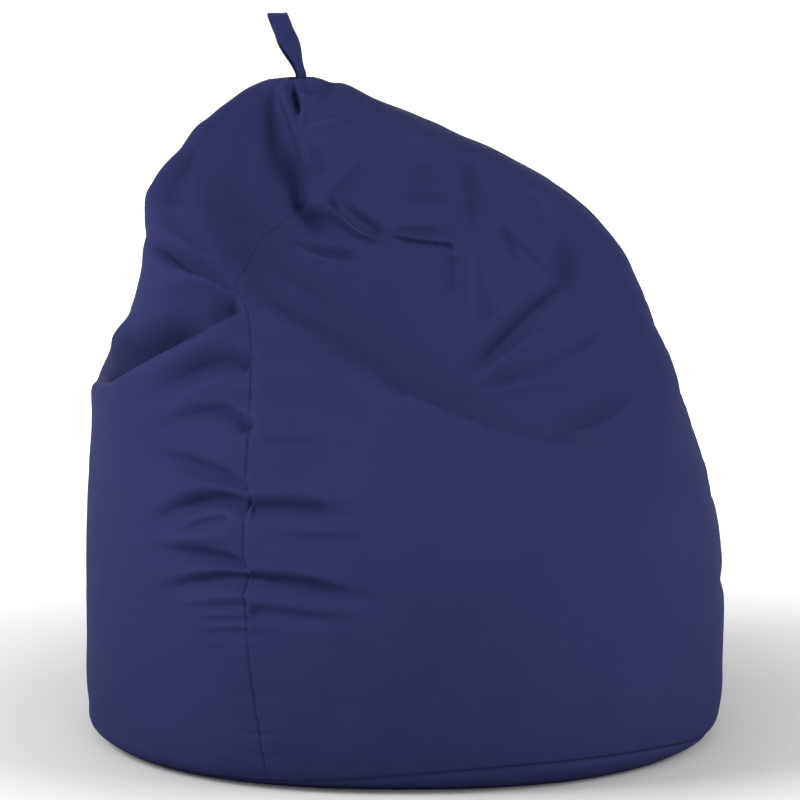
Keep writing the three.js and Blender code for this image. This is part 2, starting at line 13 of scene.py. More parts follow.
import bpy
import numpy as np
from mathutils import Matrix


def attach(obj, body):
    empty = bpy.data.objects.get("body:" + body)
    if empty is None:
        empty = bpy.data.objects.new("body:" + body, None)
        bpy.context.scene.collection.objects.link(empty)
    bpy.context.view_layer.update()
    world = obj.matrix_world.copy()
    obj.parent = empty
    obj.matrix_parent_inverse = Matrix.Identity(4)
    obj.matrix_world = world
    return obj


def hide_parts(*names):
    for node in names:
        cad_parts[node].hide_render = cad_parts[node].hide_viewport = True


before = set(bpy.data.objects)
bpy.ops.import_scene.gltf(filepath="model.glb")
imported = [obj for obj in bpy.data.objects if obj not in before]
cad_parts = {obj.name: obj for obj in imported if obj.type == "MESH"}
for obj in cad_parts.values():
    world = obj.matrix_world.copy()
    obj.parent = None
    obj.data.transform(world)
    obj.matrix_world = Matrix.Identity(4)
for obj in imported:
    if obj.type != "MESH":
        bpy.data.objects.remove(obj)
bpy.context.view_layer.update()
MM = 0.001


def new_object(name, data):
    made = bpy.data.objects.new(name, data)
    bpy.context.collection.objects.link(made)
    return made


print("packed nodes:", len(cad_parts))

# %% [markdown]
# ## The camera
# The photograph was taken from far away with a long lens, a little above the middle of the bag. The
# folds further down are placed on this same picture, so the eye's place is kept as numbers. The
# small shift puts the bag where the photograph has it.

# %% The camera
EYE = {"away": 4500, "aim": 450, "down": math.radians(8), "picture": 1128, "left": 7.05, "up": 4.93}
SIGHT = np.array([0, math.cos(EYE["down"]), -math.sin(EYE["down"])])
SIGHT_UP = np.array([0, math.sin(EYE["down"]), math.cos(EYE["down"])])
EYE_POINT = np.array([0, 0, EYE["aim"]]) - EYE["away"] * SIGHT
SENSOR = 36

camera = new_object("camera", bpy.data.cameras.new("camera"))
camera.location = EYE_POINT * MM
camera.rotation_euler = (math.pi / 2 - EYE["down"], 0, 0)
camera.data.sensor_width = SENSOR
camera.data.lens = SENSOR * EYE["away"] / EYE["picture"]
camera.data.shift_x = -EYE["left"] / EYE["picture"]
camera.data.shift_y = EYE["up"] / EYE["picture"]
camera.data.clip_start, camera.data.clip_end = 0.1, 60
bpy.context.scene.camera = camera
print("lens, mm:", round(camera.data.lens, 1))

# %% [markdown]
# ## The filled sack
# Before anyone sits in it, the sack is a stack of rounded rings. A short table gives each ring's
# reach to the left, right, front and back, and smooth curves fill in between the rows. A sphere
# that is pushed about would also do, but then the sizes would be hidden in the moves.

# %% The filled sack
def table(columns, *rows):
    """Columns of numbers by name, from rows that are written out."""
    return dict(zip(columns.split(), np.array(rows, float).T))


LEVELS = table(
    "up left right front back mid_x mid_y wing",
    (0, 421, 416, 410, 412, 0, 0, 0),
    (14, 444, 438, 436, 434, 0, 0, 0),
    (40, 447, 446, 448, 446, 0, 0, 0),
    (90, 449, 449, 456, 452, 0, 0, 0),
    (160, 450, 450, 460, 456, 0, 5, 0),
    (250, 449, 446, 462, 460, 0, 10, 0),
    (350, 445, 429, 450, 455, 0, 20, 0),
    (440, 441, 402, 420, 442, 0, 40, 10),
    (500, 436, 386, 380, 430, -5, 60, 45),
    (560, 398, 361, 322, 416, -10, 85, 100),
    (620, 370, 338, 250, 400, -20, 105, 145),
    (680, 361, 303, 170, 382, -30, 125, 170),
    (730, 360, 253, 100, 360, -45, 138, 170),
    (780, 341, 168, 30, 330, -75, 146, 145),
    (830, 298, 60, -22, 294, -110, 150, 105),
    (870, 256, -36, -64, 250, -135, 148, 60),
    (895, 212, -88, -98, 205, -148, 142, 20),
    (903, 168, -130, -112, 160, -149, 138, 0),
)
ROUNDNESS = 2.3
TOP = 903


def between(rows, key, column, place):
    """Values of a column between a table's rows, on a smooth curve."""
    keys, values = rows[key], rows[column]
    slopes = np.empty_like(values)
    slopes[1:-1] = (values[2:] - values[:-2]) / (keys[2:] - keys[:-2])
    slopes[0] = (values[1] - values[0]) / (keys[1] - keys[0])
    slopes[-1] = (values[-1] - values[-2]) / (keys[-1] - keys[-2])
    i = np.clip(np.searchsorted(keys, place) - 1, 0, len(keys) - 2)
    span = keys[i + 1] - keys[i]
    t = np.clip((place - keys[i]) / span, 0, 1)
    leave = (t**3 - 2 * t**2 + t) * span * slopes[i]
    arrive = (t**3 - t**2) * span * slopes[i + 1]
    blend = 3 * t**2 - 2 * t**3
    return values[i] * (1 - blend) + values[i + 1] * blend + leave + arrive


def smooth(value, low, high):
    t = np.clip((value - low) / (high - low), 0, 1)
    return t * t * (3 - 2 * t)


def sack_points(degrees, up):
    """Points of the filled sack, by compass degrees (0 right, 90 back) and level."""
    turn = np.radians(degrees)
    side, depth = np.cos(turn), np.sin(turn)
    at = {name: between(LEVELS, "up", name, up) for name in LEVELS if name != "up"}
    reach_x = np.where(side > 0, at["right"] - at["mid_x"], at["left"] + at["mid_x"])
    reach_y = np.where(depth > 0, at["back"] - at["mid_y"], at["front"] + at["mid_y"])
    steepness = np.abs(side / reach_x) ** ROUNDNESS + np.abs(depth / reach_y) ** ROUNDNESS
    reach = steepness ** (-1 / ROUNDNESS)
    wing = np.where(side < 0, at["wing"] * (side * reach / reach_x) ** 2, 0)
    x = at["mid_x"] + side * reach
    y = at["mid_y"] + depth * reach - wing
    return np.stack([x, y, up + 0 * x], -1)


print("widest ring, mm:", LEVELS["left"].max() + LEVELS["right"].max())

# %% [markdown]
# ## The seat
# A sitter presses the cloth back and down until it lies on a leaning bowl with a steep wall behind.
# Each point slides along that direction, and a halving search finds how far. A soft square root
# instead of a hard stop leaves the rim round, as filled cloth does. A Boolean would cut a hard
# edge.

# %% The seat
SEAT = {
    "low_x": 150, "low_y": -290, "low": 440,
    "rise_left": 0.88, "ease_left": 1000, "rise_right": 0.50, "rise_back": 0.80, "round": 70,
    "wall_y": 14, "wall_lean": 0.10, "wall_round": 16, "wall_steep": 5,
    "wing_steep": 1.2, "wing_x": -190, "wall_x": -90,
    "arm_x": -215, "arm_rise": 1.1, "arm_round": 50,
    "push_back": 0.6, "push_down": 0.8, "from": 300, "to": 420,
    "rim_round": 13, "soft_rim": 34, "soft_from": 130, "soft_to": 320,
}
SEARCH = {"from": -300, "to": 400, "halvings": 24}


def seat_height(x, y):
    across = x - SEAT["low_x"]
    left = SEAT["rise_left"] * across / (1 - np.minimum(across, 0) / SEAT["ease_left"])
    climb_across = np.where(across < 0, left, SEAT["rise_right"] * across)
    climb_back = SEAT["rise_back"] * (y - SEAT["low_y"])
    climb = np.sqrt(climb_across**2 + climb_back**2 + SEAT["round"] ** 2)
    past_wall = y - SEAT["wall_y"] - SEAT["wall_lean"] * x
    wall = (past_wall + np.hypot(past_wall, SEAT["wall_round"])) / 2
    steep = SEAT["wing_steep"] + (SEAT["wall_steep"] - SEAT["wing_steep"]) * smooth(
        x, SEAT["wing_x"], SEAT["wall_x"])
    past_arm = SEAT["arm_x"] - x
    arm = (past_arm + np.hypot(past_arm, SEAT["arm_round"])) / 2
    return SEAT["low"] + climb - SEAT["round"] + steep * wall + SEAT["arm_rise"] * arm


def press(points):
    x, y, z = points[..., 0], points[..., 1], points[..., 2]
    low, high = np.full_like(x, SEARCH["from"]), np.full_like(x, SEARCH["to"])
    for _ in range(SEARCH["halvings"]):
        middle = (low + high) / 2
        above = z - middle * SEAT["push_down"] - seat_height(x, y + middle * SEAT["push_back"]) > 0
        low, high = np.where(above, middle, low), np.where(above, high, middle)
    rim = SEAT["rim_round"] + SEAT["soft_rim"] * smooth(x, SEAT["soft_from"], SEAT["soft_to"])
    push = (low + np.hypot(low, 2 * rim)) / 2 * smooth(z, SEAT["from"], SEAT["to"])
    return np.stack([x, y + push * SEAT["push_back"], z - push * SEAT["push_down"]], -1)


print("seat's lowest place, mm:", round(float(seat_height(SEAT["low_x"], SEAT["low_y"])), 1))

# %% [markdown]
# ## Seams
# Three long seams run from the base to the loop, and one runs round the base. Each is a line of
# compass degrees that drifts with the level, so a panel's edges can never part from its
# neighbour's.

# %% Seams
FRONT_LEFT = table(
    "up at",
    (0, -113), (130, -114.4), (290, -115.6), (480, -115.8), (530, -116.4), (576, -118), (620, -121),
    (650, -125), (690, -126), (728, -126.6), (752, -125), (772, -119), (790, -109), (815, -104.5),
    (855, -103.5), (903, -104),
)
RIGHT = table("up at", (0, 0), (903, 0))
BACK_LEFT = table("up at", (0, 122), (903, 122))
BASE_SEAM = table(
    "at up",
    (-180, 14), (-140, 8), (-115, 7), (-85, 29), (-66, 36), (-44, 31), (-23, 14), (0, 14),
    (90, 20), (180, 14),
)
PANELS = {
    "side_panel_front": {"seams": (FRONT_LEFT, RIGHT), "turn": (0, 0), "columns": 247},
    "side_panel_back": {"seams": (RIGHT, BACK_LEFT), "turn": (0, 0), "columns": 130},
    "side_panel_left": {"seams": (BACK_LEFT, FRONT_LEFT), "turn": (0, 360), "columns": 240},
}
BASE_BLEND = 90
SEAM_GAP = 0.3


def base_seam_height(degrees):
    return between(BASE_SEAM, "at", "up", (degrees + 180) % 360 - 180)


def shaped_points(degrees, level):
    lift = base_seam_height(degrees) * np.maximum(0, 1 - level / BASE_BLEND)
    return press(sack_points(degrees, level + lift))


def panel_degrees(panel, across, level):
    start, end = (
        between(seam, "up", "at", level) + turn
        for seam, turn in zip(panel["seams"], panel["turn"]))
    return start + (end - start) * across


print("panels:", ", ".join(PANELS))

# %% [markdown]
# ## Folds
# The seams gather the cloth, the top has flopped over, and the sitter's weight fans creases out of
# a pit beside the arm. Each fold is an arc through three places, measured on the photograph's own
# picture in millimetres: right of the middle, and up from the middle of the base. A fold has a
# depth (a ridge has a minus), a width, how far it fades at each end, and how sharp it is. Cloth
# that is gathered has a narrow bottom and a crest on each side, and slack cloth has a soft trough.
# An end with no fade is one that a seam or another fold stops. The folds behind are measured in
# compass degrees and levels, because the photograph doesn't show them.
#
# A cloth run would also give folds, but its own ones. Here each has to lie where the photograph has
# it, so the points are moved by listed depths.

# %% Folds
FOLD = "name from by to deep wide soft sharp lean".split()
PLAIN = {"sharp": 0, "lean": 0}
EVEN = (0.5, 0.5)
FRONT_FOLDS = [PLAIN | dict(zip(FOLD, row)) for row in (
    # the neck, where the top flopped over and was pinched
    ("top seam crease", (-158, 907), (-155, 872), (-150, 838), 16, 6, (0, 0.4), 0.6),
    ("neck valley, upper", (-186, 880), (-163, 790), (-148, 724), 22, 15, (0.7, 0), 0.2, 0.5),
    ("neck valley, lower", (-148, 724), (-126, 700), (-80, 681), 21, 12, (0, 0.6), 0.2, 0.4),
    ("neck ridge", (-172, 884), (-150, 818), (-122, 744), -9, 9, (0.1, 0.2)),
    ("dimple by the loop", (-136, 888), (-122, 886), (-108, 890), 11, 13, (0, 0)),
    ("under the dimple", (-154, 884), (-136, 872), (-110, 884), -5, 6, (0.3, 0.3)),
    ("band over the knuckle", (-148, 845), (-123, 846), (-97, 850), 6, 10, (0.1, 0.4)),
    ("top of the left panel", (-152, 912), (-176, 902), (-212, 882), -9, 15, (0, 0.5)),
    ("knuckle, edge", (-146, 828), (-92, 832), (-61, 797), -8, 11, (0.3, 0.3)),
    ("knuckle, side", (-58, 794), (-80, 768), (-113, 732), -6, 9, (0.5, 0.3)),
    ("crease in the knuckle", (-124, 806), (-125, 783), (-118, 752), 5, 11, (0.5, 0.3)),
    ("pinch ridge", (-116, 728), (-66, 680), (-26, 674), -9, 5.5, (0.15, 0.3)),
    ("pinch pit", (-104, 722), (-100, 717), (-97, 713), 7, 6, (0, 0)),
    ("behind the pinch", (-98, 727), (-60, 700), (-26, 675), 8, 7, (0.5, 0.2), 0.3, 0.6),
    ("mouth", (-28, 675), (18, 668), (60, 663), 6, 3.2, (0.4, 0), 0.8, 0.7),
    ("corner of the mouth", (60, 663), (66, 659), (70, 646), 6, 3.4, (0, 0.7), 0.8, 0.6),
    ("lip above the mouth", (-30, 684), (15, 692), (66, 686), -6, 10, (0.3, 0.3)),
    ("band over the lip", (-10, 716), (30, 722), (70, 716), 5, 14, (0.3, 0.3)),
    ("valley under the mouth", (66, 650), (68, 620), (74, 580), 7, 11, (0.1, 0.4), 0.3),
    ("strip beside it", (92, 668), (94, 610), (96, 545), -5, 8, (0.3, 0.2)),
    ("past the strip", (118, 612), (117, 580), (116, 545), 4, 10, (0.4, 0.4), 0.2),
    ("bright facet", (-42, 642), (10, 620), (48, 585), -5, 20, (0.4, 0.4)),
    ("under the facet", (-38, 618), (-5, 600), (28, 577), 5, 10, (0.4, 0.4), 0.2, 0.4),
    ("lens", (-150, 672), (-106, 655), (-54, 656), 10, 7, (0.3, 0.3), 0.5, 0.6),
    ("lens edge", (-170, 670), (-113, 637), (-40, 640), -8, 7.5, (0.2, 0.4)),
    ("seat ridge", (-200, 628), (-150, 595), (-95, 560), -6, 11, (0.3, 0.3)),
    ("seat valley", (-206, 618), (-170, 583), (-118, 560), 5, 9, (0.3, 0.4), 0.3),
    # the right of the seat, where creases fan out of a pit
    ("arm pit", (232, 715), (228, 640), (240, 575), 21, 30, (0.5, 0.5)),
    ("arm pit, middle", (228, 640), (235, 627), (240, 612), 22, 20, (0.3, 0.3), 0.2),
    ("fan crease, upper", (232, 624), (150, 556), (90, 478), 15, 12, (0.1, 0.4), 0.5, 0.5),
    ("fan ridge", (216, 548), (158, 512), (106, 474), -7, 11, (0.3, 0.3)),
    ("fan crease, lower", (310, 566), (200, 500), (55, 453), 9, 10, (0.3, 0.3), 0.5, 0.5),
    ("floor crease", (47, 450), (180, 462), (309, 474), 5, 8, (0.2, 0.4), 0.5, 0.5),
    ("small crease, upper", (14, 512), (45, 514), (73, 517), 2, 6, (0.5, 0.5), 0.4),
    ("small crease, lower", (32, 489), (58, 488), (83, 487), 2, 6, (0.5, 0.5), 0.4),
    ("back crease, left", (56, 840), (88, 745), (92, 650), 13, 18, (0.5, 0.4), 0.15),
    ("back crease, facet", (132, 688), (152, 660), (166, 630), 7, 8, (0.3, 0.4), 0.5),
    ("back crease, right", (140, 680), (185, 645), (232, 626), 8, 8, (0.4, 0.1), 0.5),
    ("back lobe bump", (160, 752), (196, 722), (190, 690), -5, 13, (0.3, 0.3)),
    ("back facet", (6, 836), (20, 792), (34, 744), -13, 22, (0.4, 0.4)),
    ("beside the facet", (-46, 838), (-38, 796), (-28, 750), 7, 20, (0.4, 0.4)),
    ("back lobe dent", (141, 724), (146, 722), (152, 722), 5, 13, (0.3, 0.3)),
    # the rim of the seat
    ("behind the rim", (-374, 690), (-320, 645), (-226, 602), 20, 17, (0.5, 0.15), 0, -0.8),
    ("hood floor", (-352, 724), (-306, 688), (-236, 648), 14, 27, (0.3, 0.4), 0, -0.4),
    ("rim, left", (-370, 662), (-318, 622), (-228, 590), -7, 10, (0.4, 0.2)),
    ("rim, middle", (-214, 574), (-110, 522), (-17, 466), -8, 13, (0.15, 0.2)),
    ("above the rim", (-206, 600), (-130, 566), (-60, 520), 5, 10, (0.3, 0.4), 0.2, -0.4),
    ("rim, front", (-17, 466), (60, 420), (128, 396), -4, 15, (0.2, 0.3)),
    ("rim, right", (196, 392), (286, 404), (352, 490), -10, 13, (0.3, 0.5)),
    ("inside the rim, right", (205, 420), (276, 432), (322, 492), 13, 16, (0.3, 0.5)),
    # puckers left of the long seam, from the rim down
    ("tuck under the rim", (-226, 582), (-338, 532), (-450, 472), 58, 25, (0.7, 0.1), 0, -0.9),
    ("start of the tuck", (-224, 585), (-262, 570), (-316, 543), 22, 17, (0.1, 0.5), 0.1, -0.7),
    ("arm ridge", (-380, 600), (-316, 610), (-240, 594), -9, 15, (0.4, 0.3)),
    ("arm edge", (-392, 574), (-416, 524), (-446, 478), -30, 14, (0.45, 0.3)),
    ("tuck ridge", (-226, 560), (-317, 510), (-425, 454), -9, 16, (0.15, 0.3)),
    ("pucker 1", (-221, 504), (-290, 497), (-384, 430), 17, 13, (0, 0.5), 0.35, 0.6),
    ("pucker 1 crest", (-240, 470), (-290, 462), (-380, 404), -4, 13, (0.3, 0.5)),
    ("pucker 2", (-222, 408), (-270, 434), (-356, 396), 14, 12, (0, 0.5), 0.35, 0.6),
    ("seam hollow", (-226, 450), (-232, 440), (-244, 424), 6, 15, (0, 0.5)),
    ("pucker 3", (-229, 318), (-290, 353), (-378, 371), 14, 13, (0, 0.5), 0.3, 0.6),
    ("pucker 4, left", (-222, 300), (-292, 306), (-370, 262), 19, 12, (0, 0.5), 0.45, 0.7),
    ("pucker 4, right", (-219, 294), (-140, 296), (-58, 276), 16, 12, (0, 0.5), 0.45, 0.7),
    ("pucker 5", (-244, 278), (-284, 273), (-320, 258), 6, 8, (0.2, 0.4), 0.4, 0.5),
    ("pucker 6", (-230, 207), (-284, 227), (-374, 231), 15, 12, (0, 0.5), 0.35, 0.6),
    ("pucker 6 crest", (-236, 254), (-290, 252), (-372, 246), -4, 9, (0.2, 0.4)),
    ("pucker 7, left", (-224, 193), (-282, 193), (-350, 175), 17, 11, (0, 0.5), 0.45, 0.7),
    ("pucker 7, right", (-220, 194), (-130, 183), (-30, 157), 15, 11, (0, 0.5), 0.45, 0.7),
    ("pucker 8, left", (-226, 157), (-280, 154), (-334, 152), 6, 8, (0, 0.5), 0.4, 0.5),
    ("pucker 8, right", (-222, 150), (-140, 140), (-56, 133), 7, 9, (0.05, 0.5), 0.4, 0.5),
    ("pucker 8, below", (-224, 134), (-262, 135), (-298, 135), 4, 6, (0, 0.4), 0.6, 0.5),
    ("pucker 9", (-225, 119), (-258, 118), (-292, 116), 4, 6, (0, 0.4), 0.6, 0.5),
    ("right of the seam, middle", (-206, 390), (-150, 388), (-92, 385), 3, 7, (0.1, 0.5), 0.5, 0.5),
    ("right of the seam, lower", (-198, 255), (-110, 250), (-30, 252), 4, 8, (0.4, 0.5), 0.5, 0.5),
    ("broad valley by the seam", (-206, 452), (-124, 460), (50, 416), 9, 18, (0.3, 0.4), 0.1, 0.2),
    # the left wing
    ("wing valley", (-221, 702), (-227, 664), (-226, 632), 6, 11, (0.5, 0.5), 0.2),
    ("wing streak, left", (-262, 734), (-266, 700), (-266, 668), 3, 10, (0.5, 0.5), 0.2),
    ("wing ridge", (-258, 772), (-252, 735), (-246, 698), -3, 11, (0.5, 0.5)),
    ("wing streak, long", (-228, 765), (-234, 700), (-240, 645), 3, 12, (0.5, 0.5), 0.2),
    ("wing hollow", (-280, 832), (-322, 768), (-336, 706), 19, 36, (0.3, 0.3)),
    ("wing edge", (-264, 850), (-344, 772), (-378, 706), -15, 13, (0.3, 0.3)),
)]
BACK_FOLDS = [PLAIN | dict(zip(FOLD, row)) for row in (
    ("right seam pucker, high", (-16, 470), (0, 480), (22, 462), 3, 13, EVEN, 0.4, 0.5),
    ("right seam pucker, middle", (-18, 318), (5, 342), (38, 304), 6, 17, EVEN, 0.3, 0.5),
    ("right seam pucker, low", (-30, 196), (-3, 216), (22, 190), 6, 15, EVEN, 0.3, 0.5),
    ("nape crease, left", (136, 812), (112, 762), (84, 738), 11, 17, EVEN, 0.3, 0.3),
    ("nape crease, right", (30, 792), (62, 744), (96, 736), 11, 18, EVEN, 0.3, 0.3),
    ("back seam pucker, high", (94, 582), (124, 618), (166, 562), 10, 19, EVEN, 0.3, 0.5),
    ("back seam pucker, middle", (82, 412), (118, 446), (148, 408), 9, 18, EVEN, 0.3, 0.5),
    ("back seam pucker, low", (108, 234), (128, 260), (164, 222), 7, 16, EVEN, 0.3, 0.5),
    ("slack of the back", (22, 590), (66, 524), (108, 560), 8, 30, EVEN, 0.1, 0),
)]
ARC_STEPS = 20
CUT_SHORT = 2.5
FADED_OUT = 0.08
SHORTEST_FADE = 1.3
LEAN = {"above": 0.45, "below": 0.6}
NARROW = {"tip": 0.25, "fall": 0.75, "crest_at": 2.1, "crest_wide": 0.9, "crest_high": 0.2}


def arc_steps(fold):
    t = np.linspace(0, 1, ARC_STEPS + 1)[:, None]
    start, by, end = (np.array(fold[k], float) for k in ("from", "by", "to"))
    return 2 * (t - 0.5) * (t - 1) * start + 4 * t * (1 - t) * by + 2 * t * (t - 0.5) * end


def end_fade(from_end, share):
    return FADED_OUT + (1 - FADED_OUT) * smooth(from_end, 0, share) if share else 1


def fold_profile(away, wide, sharp):
    """Across a fold: a soft trough, or a narrow one between two crests."""
    tip, fall = NARROW["tip"] * wide, NARROW["fall"] * wide
    crest_at, crest_wide = NARROW["crest_at"] * wide, NARROW["crest_wide"] * wide
    soft = np.exp(-((away / wide) ** 2))
    narrow = np.exp(-(np.hypot(away, tip) - tip) / fall)
    crests = np.exp(-(((away - crest_at) / crest_wide) ** 2))
    return (1 - sharp) * soft + sharp * (narrow - NARROW["crest_high"] * crests)


def nearest_on(fold, x, y, stretch):
    """How far places are from a fold's arc, how far along it, and how far above or below."""
    steps = arc_steps(fold)
    closed_start, closed_end = (CUT_SHORT if share == 0 else 0 for share in fold["soft"])
    rightward = 1 if fold["to"][0] >= fold["from"][0] else -1
    nearest = np.full(x.shape, np.inf)
    along, above = np.zeros(x.shape), np.zeros(x.shape)
    for i, ((start_x, start_y), (end_x, end_y)) in enumerate(zip(steps[:-1], steps[1:])):
        dx, dy = (end_x - start_x) * stretch, end_y - start_y
        px, py = (x - start_x) * stretch, y - start_y
        length = np.hypot(dx, dy)
        t = (px * dx + py * dy) / length**2
        past = 0
        if i == 0:
            past = closed_start * np.maximum(-t, 0) * length
        if i == ARC_STEPS - 1:
            past = closed_end * np.maximum(t - 1, 0) * length
        t = np.clip(t, 0, 1)
        away = np.hypot(px - t * dx, py - t * dy) + past
        closer = away < nearest
        nearest = np.where(closer, away, nearest)
        along = np.where(closer, (i + t) / ARC_STEPS, along)
        above = np.where(closer, rightward * (dx * py - dy * px) / length / (away + 1e-6), above)
    return nearest, along, above


def fold_depth(fold, across, up, stretch=1.0):
    """Depth of a fold at places, which is worked out near it only.

    A fold that leans drops steeply from above and rises gently below.
    """
    stretch = np.broadcast_to(stretch, np.shape(across))
    steps, reach = arc_steps(fold), 4 * fold["wide"]
    (left, bottom), (right, top) = steps.min(0), steps.max(0)
    aside = reach / np.min(stretch)
    near = (across > left - aside) & (across < right + aside)
    near &= (up > bottom - aside) & (up < top + reach)
    nearest, along, above = nearest_on(fold, across[near], up[near], stretch[near])
    length = np.hypot(*np.diff(steps, axis=0).T).sum()
    shortest = SHORTEST_FADE * fold["wide"] / length
    start, end = (max(share, shortest) if share else 0 for share in fold["soft"])
    fade = end_fade(along, start) * end_fade(1 - along, end)
    lean_above, lean_below = (fold["lean"] * LEAN[side] for side in ("above", "below"))
    wide = fold["wide"] * (
        1 - lean_above * np.maximum(above, 0) + lean_below * np.maximum(-above, 0))
    depth = np.zeros(np.shape(across))
    depth[near] = fold["deep"] * fade * fold_profile(nearest, wide, fold["sharp"])
    return depth


print("folds:", len(FRONT_FOLDS), "in front,", len(BACK_FOLDS), "behind")

# %% [markdown]
# ## The skin of a panel
# A grid of points from seam to seam and from base to top. They lie closer together at the seams,
# and in the rows where the back's narrow creases lie, which would break up into dashes otherwise.
# The seams pull the cloth in over a few millimetres. Slight waves break up the areas in between,
# because no filled cloth is quite smooth: they are sums of sines, so every run gives the same ones.

# %% The skin of a panel
ROWS = 396
ROW_CLOSENESS = table(
    "up close",
    (0, 1.0), (560, 1.0), (640, 1.5), (735, 1.6), (748, 4.2), (774, 4.2), (788, 1.7), (830, 1.6),
    (903, 1.3),
)
COLUMN_CLOSENESS = {
    "side_panel_front": table(
        "across close", (0, 5), (0.02, 2.1), (0.4, 1.7), (0.7, 0.75), (0.98, 0.7), (1, 3)),
    "side_panel_back": table("across close", (0, 7), (0.04, 1), (0.96, 1), (1, 7)),
    "side_panel_left": table(
        "across close", (0, 4), (0.02, 0.8), (0.5, 1), (0.7, 1.4), (0.98, 2.2), (1, 7)),
}
SEAM_DRAW = {"deep": 1.8, "wide": 2.2}
BASE_DRAW = {"deep": 3.4, "wide": 4.5}
NORMAL_OVER = {"degrees": 3.5, "up": 14}
NEAR_BASE = {"rows": 22, "power": 1.8}
WAVES = ((190, 0.8), (120, 0.55), (75, 0.32), (44, 0.16))
GATHERS = {"tall": (0.8, 2.4), "slant": (-0.25, 0.25), "wide": (4, 8), "length": (16, 46)}
COMES_IN = {"facing": (-0.2, 0.05), "reach": (20, 60), "waves": (10, 60), "gathers": (15, 50)}
FINE = 4001


def spaced(rows, key, count):
    """Places from one end to the other, closer together where the table says so."""
    fine = np.linspace(rows[key][0], rows[key][-1], FINE)
    close = np.interp(fine, rows[key], rows["close"])
    passed = np.concatenate([[0], np.cumsum((close[1:] + close[:-1]) / 2)])
    return np.interp(np.linspace(0, passed[-1], count + 1), passed, fine)


def row_levels():
    levels = spaced(ROW_CLOSENESS, "up", ROWS)
    near = NEAR_BASE["rows"]
    levels[:near] = levels[near] * (np.arange(near) / near) ** NEAR_BASE["power"]
    return levels


def column_places(name):
    return spaced(COLUMN_CLOSENESS[name], "across", PANELS[name]["columns"])


def on_picture(points):
    ray = points - EYE_POINT
    scale = EYE["away"] / (ray @ SIGHT)
    return ray[..., 0] * scale, (ray @ SIGHT_UP) * scale


BASE_ON_PICTURE = float(on_picture(np.zeros(3))[1])


def unit(vectors):
    return vectors / np.linalg.norm(vectors, axis=-1, keepdims=True)


def waves(points):
    """Gentle waves all over, about 0.6 mm high and a hand wide."""
    random = np.random.default_rng(7)
    height = np.zeros(points.shape[:-1])
    for length, tall in WAVES:
        for _ in range(4):
            way = unit(random.normal(size=3))
            phase = random.uniform(0, 6.3)
            height += tall * np.sin(points @ way * 2 * math.pi / length + phase) / 2
    return height


def seam_gathers(to_seam, level, seed):
    """Small puckers that a long seam gathers, each a finger long."""
    random = np.random.default_rng(seed)
    depth = np.zeros(to_seam.shape)
    places = np.cumsum(random.uniform(16, 44, 60))
    for place in places[places < TOP - 30]:
        tall, slant, wide, length = (random.uniform(*ends) for ends in GATHERS.values())
        off = (level - place - slant * to_seam) / wide
        depth += tall * np.exp(-(off**2)) * np.exp(-to_seam / length)
    return depth


def gathered(depths):
    """Where troughs meet, the cloth is about as deep as the deepest of them. Ridges add up."""
    troughs = sum(np.maximum(depth, 0) ** 3 for depth in depths) ** (1 / 3)
    return troughs, sum(np.minimum(depth, 0) for depth in depths)


def skin(panel, across, level):
    """Points of the finished cloth, and how deep it is folded in there."""
    degrees = panel_degrees(panel, across, level)
    points = shaped_points(degrees, level)
    aside = shaped_points(degrees + NORMAL_OVER["degrees"], level) - shaped_points(
        degrees - NORMAL_OVER["degrees"], level)
    above = shaped_points(degrees, np.minimum(level + NORMAL_OVER["up"], TOP)) - shaped_points(
        degrees, np.maximum(level - NORMAL_OVER["up"], 0))
    outward = unit(np.cross(aside, above))
    facing = np.sum(outward * unit(EYE_POINT - points), -1)
    mid_x, mid_y = (between(LEVELS, "up", name, level) for name in ("mid_x", "mid_y"))
    reach = np.hypot(points[..., 0] - mid_x, points[..., 1] - mid_y)
    x, y = on_picture(points)
    front = smooth(facing, *COMES_IN["facing"])
    troughs, ridges = gathered(
        [front * fold_depth(f, x, y - BASE_ON_PICTURE) for f in FRONT_FOLDS]
        + [fold_depth(f, degrees, level, np.radians(reach)) for f in BACK_FOLDS])
    span = panel_degrees(panel, 1, level) - panel_degrees(panel, 0, level)
    to_start, to_end = (np.radians(span) * reach * share for share in (across, 1 - across))
    calm = smooth(reach, *COMES_IN["reach"])
    start_seed, end_seed = (int(seam["at"][0]) + 400 for seam in panel["seams"])
    gathers = seam_gathers(to_start, level, start_seed) + seam_gathers(to_end, level, end_seed)
    draw = SEAM_DRAW["deep"] * np.exp(-((np.minimum(to_start, to_end) / SEAM_DRAW["wide"]) ** 2))
    base_draw = BASE_DRAW["deep"] * np.exp(-((level / BASE_DRAW["wide"]) ** 2))
    gathers = gathers * smooth(level, *COMES_IN["gathers"])
    slack = waves(points) * smooth(level, *COMES_IN["waves"])
    depth = (troughs + ridges + draw + gathers) * calm + base_draw + slack
    return points - outward * depth[..., None], troughs


print("rows:", ROWS, "closest at the base:", round(float(row_levels()[1]), 2), "mm")

# %% [markdown]
# ## Panels as filled pieces
# The bag is one filled form, cut at its seams. So each panel carries the filling behind it: its
# skin, and two sides that run in from its seams and meet on a line deep inside. That makes it a
# closed piece, which a loose sheet of quads wouldn't be. Two numbers on each point say how hollow
# the cloth is there and how deep it is folded in. The leatherette reads them later: painted shade
# in the creases and folds, wear on the crests.

# %% Panels as filled pieces
HEART = table(
    "seam up x y",
    (0, 30, 0, 0), (40, 55, 0, 0), (300, 190, 0, 40), (480, 290, 0, 90), (620, 370, -20, 120),
    (700, 450, -40, 140), (780, 580, -75, 150), (850, 730, -120, 160), (903, 880, -149, 140),
)
HOLLOW_OVER = 2


